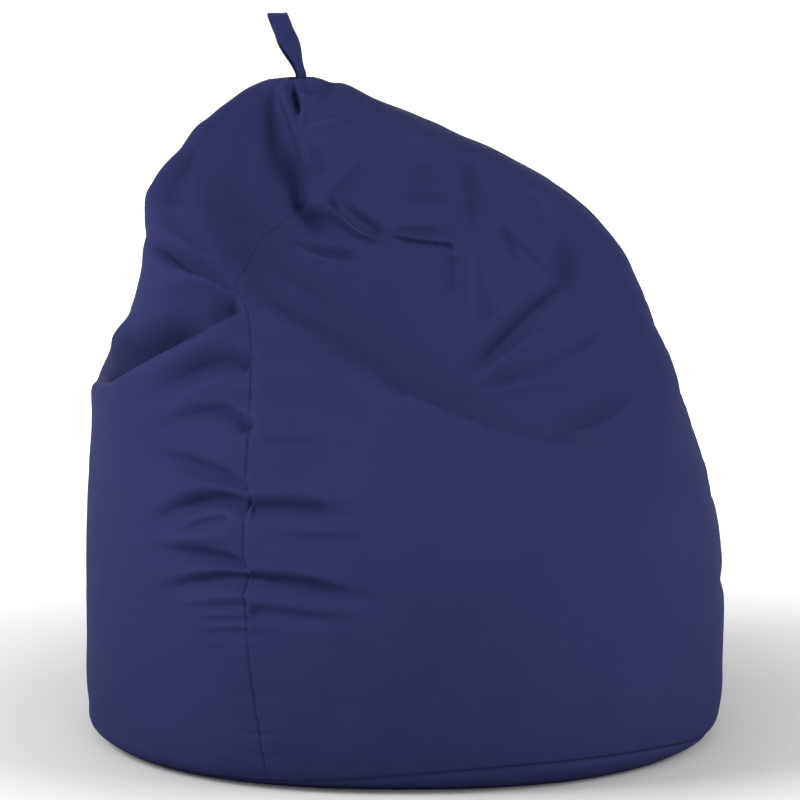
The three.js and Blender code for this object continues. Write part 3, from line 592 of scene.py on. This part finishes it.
def hollowness(grid, step=HOLLOW_OVER):
    """Positive in a hollow and negative on a crest, over a few points each way."""
    padded = np.pad(grid, ((step, step), (step, step), (0, 0)), mode="edge")
    size = grid.shape
    around = sum(
        padded[step + a:step + a + size[0], step + b:step + b + size[1]]
        for a, b in ((-step, 0), (step, 0), (0, -step), (0, step))) / 4 - grid
    along, up = np.gradient(grid, axis=1), np.gradient(grid, axis=0)
    return np.sum(around * unit(np.cross(along, up)), -1)


def new_piece(name, points, faces, numbers=()):
    mesh = bpy.data.meshes.new(name)
    mesh.from_pydata((np.asarray(points) * MM).tolist(), [], faces)
    for key, values in numbers:
        kept = mesh.attributes.new(key, "FLOAT", "POINT")
        kept.data.foreach_set("value", np.asarray(values, np.float32))
    mesh.update()
    mesh.shade_smooth()
    mesh.set_sharp_from_angle(angle=math.radians(70))
    return new_object(name, mesh)


def filled_panel(name):
    panel = PANELS[name]
    levels, places = row_levels(), column_places(name)
    level, across = np.meshgrid(levels, places, indexing="ij")
    grid, troughs = skin(panel, across, level)
    hollow = hollowness(grid)
    starts, ends = (np.radians(panel_degrees(panel, side, levels)) for side in (0, 1))
    half = SEAM_GAP / 2
    grid[:, 0] += half * np.stack([-np.sin(starts), np.cos(starts), 0 * starts], -1)
    grid[:, -1] -= half * np.stack([-np.sin(ends), np.cos(ends), 0 * ends], -1)
    middle, inset = (starts + ends) / 2, half / np.sin((ends - starts) / 2)
    heart = np.stack([between(HEART, "seam", k, levels) for k in ("x", "y", "up")], -1)
    heart += inset[:, None] * np.stack([np.cos(middle), np.sin(middle), 0 * middle], -1)
    ring = np.concatenate([heart[:, None], grid], 1)
    count, width = ring.shape[:2]
    index = np.arange(count * width).reshape(count, width)
    a, b, c, d = index[:-1, :-1], index[:-1, 1:], index[1:, 1:], index[1:, :-1]
    faces = np.stack([a, b, c, d], -1)[:, 1:].reshape(-1, 4).tolist()
    for j in range(count - 1):
        core, first, last = index[j, 0], index[j, 1], index[j, -1]
        faces += [(core, first, first + width), (core, first + width, core + width)]
        faces += [(last, core, last + width), (core, core + width, last + width)]
    top = index[-1, 0]
    for i in range(1, width - 1):
        faces += [(0, i + 1, i), (top, top + i, top + i + 1)]
    inner = np.zeros((count, 1))
    numbers = [
        ("hollow", np.concatenate([inner, hollow], 1).ravel()),
        ("folded", np.concatenate([inner, troughs], 1).ravel()),
    ]
    faces = [tuple(map(int, face)) for face in faces]
    return new_piece(name + "_cloth", ring.reshape(-1, 3), faces, numbers)


panels = {name: filled_panel(name) for name in PANELS}
for name, piece in panels.items():
    deepest = max(v.value for v in piece.data.attributes["folded"].data)
    print(name, len(piece.data.polygons), "faces, folded up to", round(deepest, 1), "mm deep")

# %% [markdown]
# ## The base
# A round panel, flat on the floor, that turns up all round to meet the side panels at the base
# seam. It uses the same places round the bag as the panels, so the seam stays closed.

# %% The base
FLAT_RINGS = (0.5, 0.9, 0.98)
UPRIGHT_RINGS = 8
DRAWN_BELOW_SEAM = 0.35
LEVEL = np.array([1, 1, 0])


def base_piece():
    seam_points, degrees_round = [], []
    for name, panel in PANELS.items():
        places = column_places(name)[:-1]
        level = np.zeros_like(places)
        seam_points.append(skin(panel, places, level)[0])
        degrees_round.append(panel_degrees(panel, places, level))
    seam, degrees = np.concatenate(seam_points), np.concatenate(degrees_round)
    seam[:, 2] -= SEAM_GAP
    flat = sack_points(degrees, 0 * degrees)
    rings = [LEVEL * flat * share for share in FLAT_RINGS]
    for j in range(UPRIGHT_RINGS):
        up = (base_seam_height(degrees) - SEAM_GAP) * (j / UPRIGHT_RINGS)
        rings.append(sack_points(degrees, up))
    rings[-1] -= DRAWN_BELOW_SEAM * BASE_DRAW["deep"] * unit(rings[-1] * LEVEL)
    rings.append(seam)
    width = len(degrees)
    points = [*np.concatenate(rings), np.zeros(3), np.array([0, 0, HEART["up"][0] - SEAM_GAP])]
    faces = []
    for j in range(len(rings) - 1):
        for i in range(width):
            a, b = j * width + i, j * width + (i + 1) % width
            faces.append((a, b, b + width, a + width))
    low, high, top = len(points) - 2, len(points) - 1, (len(rings) - 1) * width
    for i in range(width):
        following = (i + 1) % width
        faces += [(low, following, i), (high, top + i, top + following)]
    numbers = [("hollow", np.zeros(len(points))), ("folded", np.zeros(len(points)))]
    return new_piece("base_panel_cloth", points, faces, numbers)


base = base_piece()
print("base:", len(base.data.polygons), "faces")

# %% [markdown]
# ## The hanging loop
# One strip of the same cloth, folded over and sewn, comes up out of the top, turns over and goes
# back down beside itself. Its path is worked out first, with the way that its width lies at each
# place: edge on at the root, where the seam holds it, and turned to face the front at the top.

# %% The path of the loop
LOOP = {
    "root_x": -149, "root_y": 138, "root_up": 886, "rise": 107, "lean": -34,
    "width": 28, "thick": 2.6, "sunk": 0.2, "steps": 88,
    "root_turn": 68, "top_turn": 0, "turns": (0.1, 0.8),
    "root_spread": 3.4, "eye_spread": 15, "opens": (0, 0.6), "closes": 3,
}


def loop_path():
    """Places along the strip's middle, and the way its width lies there."""
    t = np.arange(LOOP["steps"] + 1) / LOOP["steps"]
    climb, side = np.sin(math.pi * t), np.cos(math.pi * t)
    free = np.maximum(0, climb - LOOP["sunk"]) / (1 - LOOP["sunk"])
    to_top = smooth(free, *LOOP["turns"])
    turn = np.radians(LOOP["root_turn"] + (LOOP["top_turn"] - LOOP["root_turn"]) * to_top)
    opened = smooth(free, *LOOP["opens"])
    open_by = LOOP["root_spread"] + (LOOP["eye_spread"] - LOOP["root_spread"]) * opened
    spread = np.sign(side) * open_by / 2 * np.sqrt(np.minimum(1, np.abs(side) * LOOP["closes"]))
    across = np.stack([-np.sin(turn), np.cos(turn), 0 * turn], -1)
    wide = np.stack([np.cos(turn), np.sin(turn), 0 * turn], -1)
    x, y = LOOP["root_x"] + LOOP["lean"] * free, LOOP["root_y"] + 0 * t
    middle = np.stack([x, y, LOOP["root_up"] + LOOP["rise"] * climb], -1)
    return middle - across * spread[:, None], wide


loop_middle, loop_wide = loop_path()

# %% [markdown]
# ## The strip
# The strip's cross section has soft edges where the cloth folds over, and a shallow groove along
# each row of stitches, where the thread pulls the layers together. A curve with a profile would
# sweep it too, but a curve finds its own tilt. So it is swept here as a plain grid, and its width
# follows the turn of the path exactly.

# %% The strip
GROOVE = {"in": 4.0, "deep": 0.45, "wide": 1.1}
SECTION_STEPS = 22


def strip_section():
    """Places across the strip, and the height of its face there, all the way round."""
    half, thick = LOOP["width"] / 2, LOOP["thick"] / 2
    one_way = np.linspace(-half, half, SECTION_STEPS + 1)[:-1]
    across = np.concatenate([one_way, -one_way])
    face = np.repeat([1, -1], SECTION_STEPS)
    past_flat = np.maximum(0, np.abs(across) - half + thick)
    edge = np.sqrt(np.clip(1 - (past_flat / thick) ** 2, 0.02, 1))
    from_groove = half - np.abs(across) - GROOVE["in"]
    groove = GROOVE["deep"] * np.exp(-((from_groove / GROOVE["wide"]) ** 2))
    return across, face * (thick * edge - groove)


def strip_directions():
    """At each place: the way along the strip, out of its face, and across it."""
    ways = unit(np.gradient(loop_middle, axis=0))
    faces_out = unit(np.cross(ways, loop_wide))
    return ways, faces_out, unit(np.cross(faces_out, ways))


def sweep_strip():
    section_wide, section_high = strip_section()
    _, faces_out, wide = strip_directions()
    grid = (
        loop_middle[:, None] + wide[:, None] * section_wide[None, :, None]
        + faces_out[:, None] * section_high[None, :, None])
    count, width = grid.shape[:2]
    points = grid.reshape(-1, 3)
    faces = []
    for i in range(count - 1):
        for k in range(width):
            a, b = i * width + k, i * width + (k + 1) % width
            faces.append((a, a + width, b + width, b))
    faces += [tuple(range(width)), tuple(reversed(range((count - 1) * width, count * width)))]
    return new_piece("hanging_loop_strip", points, faces)


strip = sweep_strip()
print("strip:", len(strip.data.polygons), "faces")

# %% [markdown]
# ## Stitches
# Where two panels meet, the thread just shows as short bars across the joint, pulled down into it
# by the filling's push. On the strip, two rows run along its edges. Both are one small thread shape
# that repeats along a line, so one Geometry Nodes tree makes both: it spaces the points, turns a
# bar to the direction that each point carries, and makes the bars real.

# %% A tree that lays stitches along a line
def stitch_tree():
    tree = bpy.data.node_groups.new("stitches along a line", "GeometryNodeTree")
    face = tree.interface
    face.new_socket("Line", in_out="INPUT", socket_type="NodeSocketGeometry")
    for label, start in (("Pitch", 0.007), ("Length", 0.003), ("Thickness", 0.0006)):
        face.new_socket(label, in_out="INPUT", socket_type="NodeSocketFloat").default_value = start
    face.new_socket("Thread", in_out="INPUT", socket_type="NodeSocketMaterial")
    face.new_socket("Stitches", in_out="OUTPUT", socket_type="NodeSocketGeometry")

    def add(kind, links=(), **settings):
        node = tree.nodes.new(kind)
        for key, value in settings.items():
            setattr(node, key, value)
        for socket, source in links:
            if isinstance(source, bpy.types.NodeSocket):
                tree.links.new(source, node.inputs[socket])
            else:
                node.inputs[socket].default_value = source
        return node

    given = add("NodeGroupInput").outputs
    line = add("GeometryNodeMeshToCurve", [("Mesh", given["Line"])])
    spaced = add("GeometryNodeResampleCurve", [
        ("Curve", line.outputs[0]), ("Length", given["Pitch"])], mode="LENGTH")
    lie = add("GeometryNodeInputNamedAttribute", [("Name", "lie")], data_type="FLOAT_VECTOR")
    turned = add("FunctionNodeAlignRotationToVector", [("Vector", lie.outputs[0])], axis="X")
    bar = add("GeometryNodeMeshIcoSphere", [("Radius", 0.5), ("Subdivisions", 2)])
    size = add("ShaderNodeCombineXYZ", [
        ("X", given["Length"]), ("Y", given["Thickness"]), ("Z", given["Thickness"])])
    bars = add("GeometryNodeInstanceOnPoints", [
        ("Points", spaced.outputs[0]), ("Instance", bar.outputs[0]),
        ("Rotation", turned.outputs[0]), ("Scale", size.outputs[0])])
    real = add("GeometryNodeRealizeInstances", [("Geometry", bars.outputs[0])])
    round_off = add("GeometryNodeSetShadeSmooth", [("Geometry", real.outputs[0])])
    threaded = add("GeometryNodeSetMaterial", [
        ("Geometry", round_off.outputs[0]), ("Material", given["Thread"])])
    add("NodeGroupOutput", [("Stitches", threaded.outputs[0])])
    return tree


STITCHES = stitch_tree()
INPUTS = {
    item.name: item.identifier for item in STITCHES.interface.items_tree if item.in_out == "INPUT"}
thread = bpy.data.materials.new("thread")
print("inputs:", ", ".join(INPUTS))


# %% Stitches as plain meshes
def stitches(name, lines, pitch, length, thickness):
    """Bars along lines of points, each point with the direction that its bar lies in."""
    points, edges, lies = [], [], []
    for places, directions in lines:
        start = len(points)
        points += (places * MM).tolist()
        lies += directions.tolist()
        edges += [(start + i, start + i + 1) for i in range(len(places) - 1)]
    mesh = bpy.data.meshes.new(name + "_line")
    mesh.from_pydata(points, edges, [])
    mesh.attributes.new("lie", "FLOAT_VECTOR", "POINT").data.foreach_set("vector", np.ravel(lies))
    line = new_object(name + "_line", mesh)
    rule = line.modifiers.new("stitches", "NODES")
    rule.node_group = STITCHES
    for label, value in (("Pitch", pitch), ("Length", length), ("Thickness", thickness)):
        rule[INPUTS[label]] = value * MM
    rule[INPUTS["Thread"]] = thread
    laid = line.evaluated_get(bpy.context.evaluated_depsgraph_get())
    made = bpy.data.meshes.new_from_object(laid)
    line.modifiers.remove(rule)
    bpy.data.objects.remove(line)
    made.name = name
    return new_object(name, made)


SEWN = (12, TOP - 25, 500)


def seam_line(panel):
    """Points down in the long seam where a panel starts, and the level way across it."""
    levels = np.linspace(*SEWN)
    start = np.radians(panel_degrees(panel, 0, levels))
    places = skin(panel, np.zeros_like(levels), levels)[0]
    return places, np.stack([-np.sin(start), np.cos(start), 0 * levels], -1)


long_seams = [seam_line(panel) for panel in PANELS.values()]
seam_thread = stitches("seam_stitches", long_seams, pitch=6.0, length=3.4, thickness=0.9)
print("seam stitches:", len(seam_thread.data.polygons), "faces")


# %% Stitches on the strip
IN_SOCKET = 12
THREAD_SUNK = 0.3


def strip_rows():
    ways, faces_out, wide = strip_directions()
    rows = []
    for edge in (-1, 1):
        for face in (-1, 1):
            aside = edge * (LOOP["width"] / 2 - GROOVE["in"])
            proud = face * (LOOP["thick"] / 2 - THREAD_SUNK)
            row = loop_middle + wide * aside + faces_out * proud
            rows.append((row[IN_SOCKET:-IN_SOCKET], ways[IN_SOCKET:-IN_SOCKET]))
    return rows


strip_thread = stitches("strip_stitches", strip_rows(), pitch=3.6, length=2.8, thickness=0.6)
print("strip stitches:", len(strip_thread.data.polygons), "faces")

# %% [markdown]
# ## Writing shader maths as sums
# A small class wraps a node's output, so that a pattern can be written as a sum or a product. One
# method adds any node: its settings go in first, and then the values or links of its sockets.

# %% A class for shader maths
class Part:
    """An output in a material, which can be added, taken away or multiplied."""

    def __init__(self, finish, socket):
        self.finish, self.socket = finish, socket

    def maths(self, operation, first, second):
        return self.finish.node("ShaderNodeMath", {"operation": operation}, {0: first, 1: second})

    def __add__(self, other): return self.maths("ADD", self, other)
    def __radd__(self, other): return self.maths("ADD", other, self)
    def __sub__(self, other): return self.maths("SUBTRACT", self, other)
    def __rsub__(self, other): return self.maths("SUBTRACT", other, self)
    def __mul__(self, other): return self.maths("MULTIPLY", self, other)
    def __rmul__(self, other): return self.maths("MULTIPLY", other, self)


class Finish:
    """A material's nodes, made from an empty tree."""

    def __init__(self, material):
        material.use_nodes = True
        self.tree = material.node_tree
        self.tree.nodes.clear()
        self.cloth = self.tree.nodes.new("ShaderNodeBsdfPrincipled")
        output = self.tree.nodes.new("ShaderNodeOutputMaterial")
        self.tree.links.new(self.cloth.outputs[0], output.inputs[0])

    def put(self, socket, value):
        if isinstance(value, Part):
            self.tree.links.new(value.socket, socket)
        else:
            socket.default_value = value

    def node(self, kind, settings, sockets, output=0):
        made = self.tree.nodes.new(kind)
        for key, value in settings.items():
            setattr(made, key, value)
        for key, value in sockets.items():
            self.put(made.inputs[key], value)
        return Part(self, made.outputs[output])

    def number(self, attribute):
        return self.node("ShaderNodeAttribute", {"attribute_name": attribute}, {}, "Fac")

    def over(self, value, low, high, to_low=0.0, to_high=1.0):
        """The value from low to high, as to_low to to_high, held at both ends."""
        return self.node("ShaderNodeMapRange", {"clamp": True}, {
            0: value, "From Min": low, "From Max": high, "To Min": to_low, "To Max": to_high})

    def mixed(self, factor, first, second):
        return self.node(
            "ShaderNodeMix", {"data_type": "RGBA"}, {0: factor, 6: first, 7: second}, 2)

    def wear(self, **sockets):
        for name, value in sockets.items():
            self.put(self.cloth.inputs[name.replace("_", " ")], value)


print("shader maths ready")

# %% [markdown]
# ## Leatherette
# The cover is cloth with a thin navy coat. From a step away it is smooth and dull, a little lighter
# where it stretches over a crest. Shade is painted into its colour: darker down in a crease, and
# darkest deep inside a fold, where the same number that shaped the fold mixes in the painted shade.
# Close up, the coat has a fine pebble grain with pores between the pebbles, and faint drag lines
# where it has been sat on. The grain reads Object coordinates, so it is the same size everywhere,
# and no image is used.

# %% Leatherette
NAVY = (0.0192, 0.0212, 0.0745, 1)
NAVY_CREST = (0.0214, 0.0236, 0.0795, 1)
# painted shade for the creases, and also the colour of the grain's pores
NAVY_PAINTED_SHADE_AND_PORES = (0.0170, 0.0190, 0.0695, 1)
# painted shade for deep inside a fold
NAVY_PAINTED_FOLD_SHADE = (0.0130, 0.0144, 0.0520, 1)
NAVY_WORN = (0.0258, 0.0285, 0.0970, 1)


def leatherette(material, grain=1.0):
    coat = Finish(material)
    place = coat.node("ShaderNodeTexCoord", {}, {}, "Object")

    def noise(scale, detail, rough=0.5, warp=0.0):
        return coat.node("ShaderNodeTexNoise", {}, {
            "Vector": place, "Scale": scale, "Detail": detail, "Roughness": rough,
            "Distortion": warp})

    hollow = coat.number("hollow")
    # in_crease masks the painted shade in the creases, and makes the creases a little rougher
    in_crease = coat.over(hollow, 0.15, 1.4)
    on_crest = coat.over(hollow, -0.05, -0.8)
    cloudy = noise(9, 3, 0.55)
    patchy = noise(38, 4, 0.6, 0.4)
    rubbed = coat.over(patchy * on_crest, 0.22, 0.6)

    pebbles = coat.node("ShaderNodeTexVoronoi", {"feature": "SMOOTH_F1"}, {
        "Vector": place, "Scale": 640, "Smoothness": 0.5, "Randomness": 1})
    pores = coat.node("ShaderNodeTexVoronoi", {"feature": "DISTANCE_TO_EDGE"}, {
        "Vector": place, "Scale": 420, "Randomness": 1})
    fine = noise(1500, 2)
    pits = coat.over(pores, 0.0, 0.12, 1, 0)

    tone = coat.mixed(coat.over(cloudy, 0.3, 0.7), NAVY, NAVY_CREST)
    # painted shade: darker down in a crease
    tone = coat.mixed(in_crease * 0.8, tone, NAVY_PAINTED_SHADE_AND_PORES)
    # painted shade: darkest where the cloth is folded in deepest
    tone = coat.mixed(coat.over(coat.number("folded"), 11, 36, 0, 1), tone, NAVY_PAINTED_FOLD_SHADE)
    tone = coat.mixed(rubbed * 0.35, tone, NAVY_WORN)
    tone = coat.mixed(pits * 0.25, tone, NAVY_PAINTED_SHADE_AND_PORES)

    satin = 0.62 + 0.08 * cloudy + 0.08 * in_crease - 0.08 * rubbed + 0.05 * patchy
    drag = noise(130, 3, 0.6, 1.2)
    height = (pebbles * -0.5 - pits * 0.6 + fine * 0.25) * grain
    coarse = coat.node("ShaderNodeBump", {}, {"Strength": 0.35, "Distance": 0.0006, "Height": drag})
    fine_bump = coat.node("ShaderNodeBump", {}, {
        "Strength": 0.5, "Distance": 0.00022, "Height": height, "Normal": coarse})
    coat.wear(Base_Color=tone, Roughness=satin, Normal=fine_bump)
    coat.cloth.inputs["Specular IOR Level"].default_value = 0.015
    return material


panel_coat = leatherette(bpy.data.materials.new("navy_coat"))
strip_coat = leatherette(bpy.data.materials.new("navy_coat_of_the_strip"), 0.8)
print("leatherette:", len(panel_coat.node_tree.nodes), "nodes")

# %% [markdown]
# ## Thread
# Twisted polyester in the coat's own navy, a little lighter and duller, with its twist as fine
# bands.

# %% Thread
def twisted_thread(material):
    yarn = Finish(material)
    place = yarn.node("ShaderNodeTexCoord", {}, {}, "Object")
    bands = yarn.node("ShaderNodeTexWave", {"bands_direction": "DIAGONAL"}, {
        "Vector": place, "Scale": 900, "Distortion": 2, "Detail": 1})
    tone = yarn.mixed(bands, (0.020, 0.024, 0.100, 1), (0.034, 0.040, 0.135, 1))
    bump = yarn.node("ShaderNodeBump", {}, {"Strength": 0.5, "Distance": 0.0001, "Height": bands})
    yarn.wear(Base_Color=tone, Roughness=0.6 + 0.2 * bands, Normal=bump)
    return material


twisted_thread(thread)
for piece in (*panels.values(), base):
    piece.data.materials.append(panel_coat)
strip.data.materials.append(strip_coat)
print("materials:", ", ".join(m.name for m in bpy.data.materials))

# %% [markdown]
# ## Floor and light
# The photograph is a studio shot on white. The floor is one plain pale sheet. It is a little darker
# than it looks, so that it throws less light up into the folds, and away from the bag it glows
# towards white, so that it ends in the white surroundings without a line. Large soft lamps stand
# left and right, a weak one in front and one behind for the back. The world is white to look at and
# gives half as much light.

# %% Floor and light
def pale_floor():
    reach, plain_to, white_from = 30.0, 0.55, 2.4
    corners = [(-reach, -reach), (reach, -reach), (reach, reach), (-reach, reach)]
    mesh = bpy.data.meshes.new("floor")
    mesh.from_pydata([(x, y, -0.0004) for x, y in corners], [], [(0, 1, 2, 3)])
    mesh.materials.append(bpy.data.materials.new("pale_paper"))
    paper = Finish(mesh.materials[0])
    place = paper.node("ShaderNodeTexCoord", {}, {}, "Object")
    away = paper.node("ShaderNodeVectorMath", {"operation": "LENGTH"}, {0: place}, "Value")
    glow = paper.over(away, plain_to, white_from)
    paper.wear(Base_Color=(0.62, 0.62, 0.62, 1), Roughness=0.9, Emission_Color=glow)
    paper.cloth.inputs["Emission Strength"].default_value = 1.0
    paper.cloth.inputs["Specular IOR Level"].default_value = 0.1
    return new_object("floor", mesh)


def lamp(name, place, aim, size, watts):
    data = bpy.data.lights.new(name, "AREA")
    data.shape, data.size, data.size_y = "RECTANGLE", size[0], size[1]
    data.energy = watts
    made = new_object(name, data)
    made.location = place
    way = np.subtract(aim, place)
    made.rotation_euler = (
        math.atan2(math.hypot(way[0], way[1]), -way[2]), 0,
        math.atan2(way[1], way[0]) - math.pi / 2)
    made.visible_camera = False


floor = pale_floor()
LAMPS = [dict(zip("name place aim size watts".split(), row)) for row in (
    ("left window", (-3.2, -1.0, 2.5), (0, 0, 0.45), (1.8, 1.8), 150),
    ("right window", (3.3, -1.2, 1.9), (0, 0, 0.5), (1.8, 1.8), 95),
    ("front screen", (0.4, -4.2, 1.6), (0, 0, 0.4), (3.0, 2.2), 42),
    ("ceiling", (0.0, 0.2, 3.6), (0, 0, 0.4), (3.0, 2.4), 5),
    ("back screen", (0.0, 4.4, 1.5), (0, 0, 0.4), (3.0, 2.2), 40),
)]
for row in LAMPS:
    lamp(**row)

LIGHT_FROM_WORLD, WHITE_OF_WORLD = 0.5, 1.05
world = bpy.data.worlds.new("studio")
bpy.context.scene.world = world
world.use_nodes = True
sky = world.node_tree.nodes["Background"]
sky.inputs["Color"].default_value = (1, 1, 1, 1)
seen = world.node_tree.nodes.new("ShaderNodeLightPath").outputs["Is Camera Ray"]
strength = world.node_tree.nodes.new("ShaderNodeMapRange")
strength.inputs["To Min"].default_value = LIGHT_FROM_WORLD
strength.inputs["To Max"].default_value = WHITE_OF_WORLD
world.node_tree.links.new(seen, strength.inputs["Value"])
world.node_tree.links.new(strength.outputs["Result"], sky.inputs["Strength"])
bpy.context.scene.view_settings.view_transform = "Standard"

# %% [markdown]
# ## Fitting it to the imported model
# Each piece stands for its imported node and rides on the one body that the bag is.

# %% Fitting it to the imported model
for name, piece in panels.items():
    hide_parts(name)
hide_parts("base_panel")
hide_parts("hanging_loop")
for piece in (*panels.values(), base):
    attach(piece, "root")
for piece in (strip, strip_thread):
    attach(piece, "root")
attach(seam_thread, "root")
